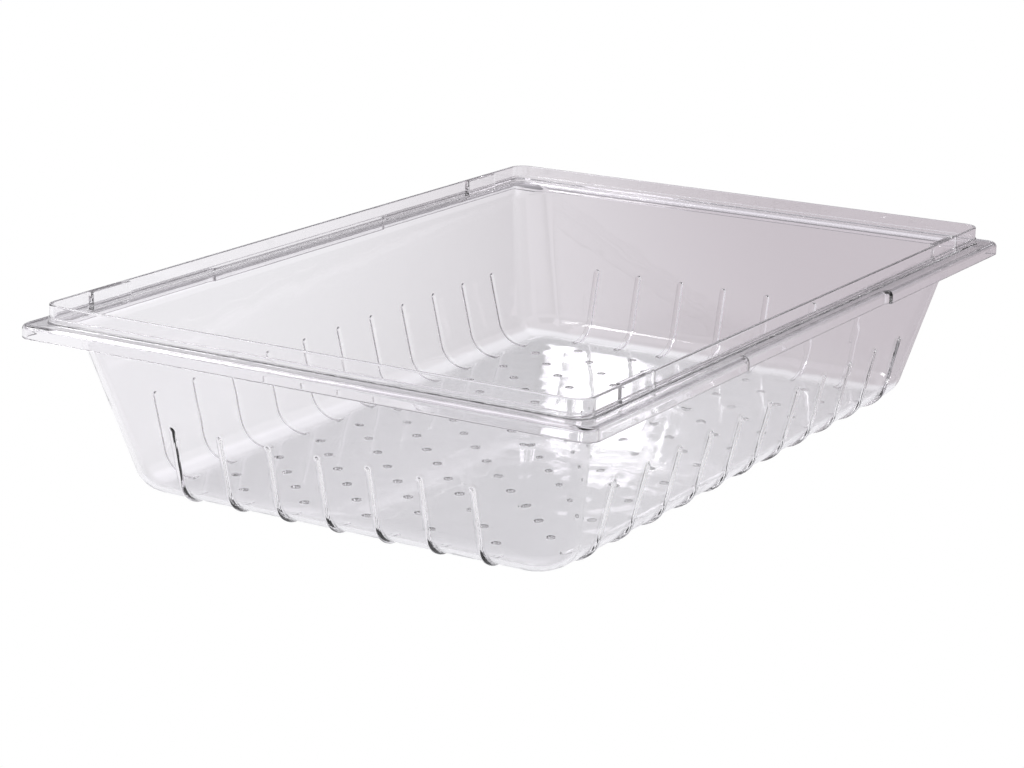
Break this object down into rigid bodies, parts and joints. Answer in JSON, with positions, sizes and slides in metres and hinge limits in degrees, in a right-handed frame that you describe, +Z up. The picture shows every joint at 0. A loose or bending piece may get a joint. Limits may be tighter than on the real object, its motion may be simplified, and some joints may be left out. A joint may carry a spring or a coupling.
{
  "type": "perforated drain pan",
  "caption": "Clear rectangular food drain pan with sloping walls, a perforated floor, stand-off ribs, a flanged rim and an upstanding lip.",
  "frame": {"origin": "under the middle of the pan, at the level of the rib feet it stands on", "axes": "+Z up out of the pan's mouth, X along its long side, Y along its short side"},
  "size_m": [0.6604, 0.4572, 0.1395],
  "materials": {
    "clear_plastic": "clear gloss"
  },
  "bodies": {
    "root": {"floor_perforated": "clear_plastic", "lip_ring": "clear_plastic", "nesting_pad_front_left": "clear_plastic", "nesting_pad_front_right": "clear_plastic", "nesting_pad_back_left": "clear_plastic", "nesting_pad_back_right": "clear_plastic", "wall_left": "clear_plastic", "wall_right": "clear_plastic", "wall_front": "clear_plastic", "wall_back": "clear_plastic", "wall_corner_front_left": "clear_plastic", "wall_corner_front_right": "clear_plastic", "wall_corner_back_left": "clear_plastic", "wall_corner_back_right": "clear_plastic", "rim_left": "clear_plastic", "rim_right": "clear_plastic", "rim_front": "clear_plastic", "rim_back": "clear_plastic", "rim_corner_front_left": "clear_plastic", "rim_corner_front_right": "clear_plastic", "rim_corner_back_left": "clear_plastic", "rim_corner_back_right": "clear_plastic", "rib_left_01": "clear_plastic", "rib_left_02": "clear_plastic", "rib_left_03": "clear_plastic", "rib_left_04": "clear_plastic", "rib_left_05": "clear_plastic", "rib_left_06": "clear_plastic", "rib_left_07": "clear_plastic", "rib_right_01": "clear_plastic", "rib_right_02": "clear_plastic", "rib_right_03": "clear_plastic", "rib_right_04": "clear_plastic", "rib_right_05": "clear_plastic", "rib_right_06": "clear_plastic", "rib_right_07": "clear_plastic", "rib_front_01": "clear_plastic", "rib_front_02": "clear_plastic", "rib_front_03": "clear_plastic", "rib_front_04": "clear_plastic", "rib_front_05": "clear_plastic", "rib_front_06": "clear_plastic", "rib_front_07": "clear_plastic", "rib_front_08": "clear_plastic", "rib_front_09": "clear_plastic", "rib_front_10": "clear_plastic", "rib_front_11": "clear_plastic", "rib_back_01": "clear_plastic", "rib_back_02": "clear_plastic", "rib_back_03": "clear_plastic", "rib_back_04": "clear_plastic", "rib_back_05": "clear_plastic", "rib_back_06": "clear_plastic", "rib_back_07": "clear_plastic", "rib_back_08": "clear_plastic", "rib_back_09": "clear_plastic", "rib_back_10": "clear_plastic", "rib_back_11": "clear_plastic"}
  },
  "joints": []
}
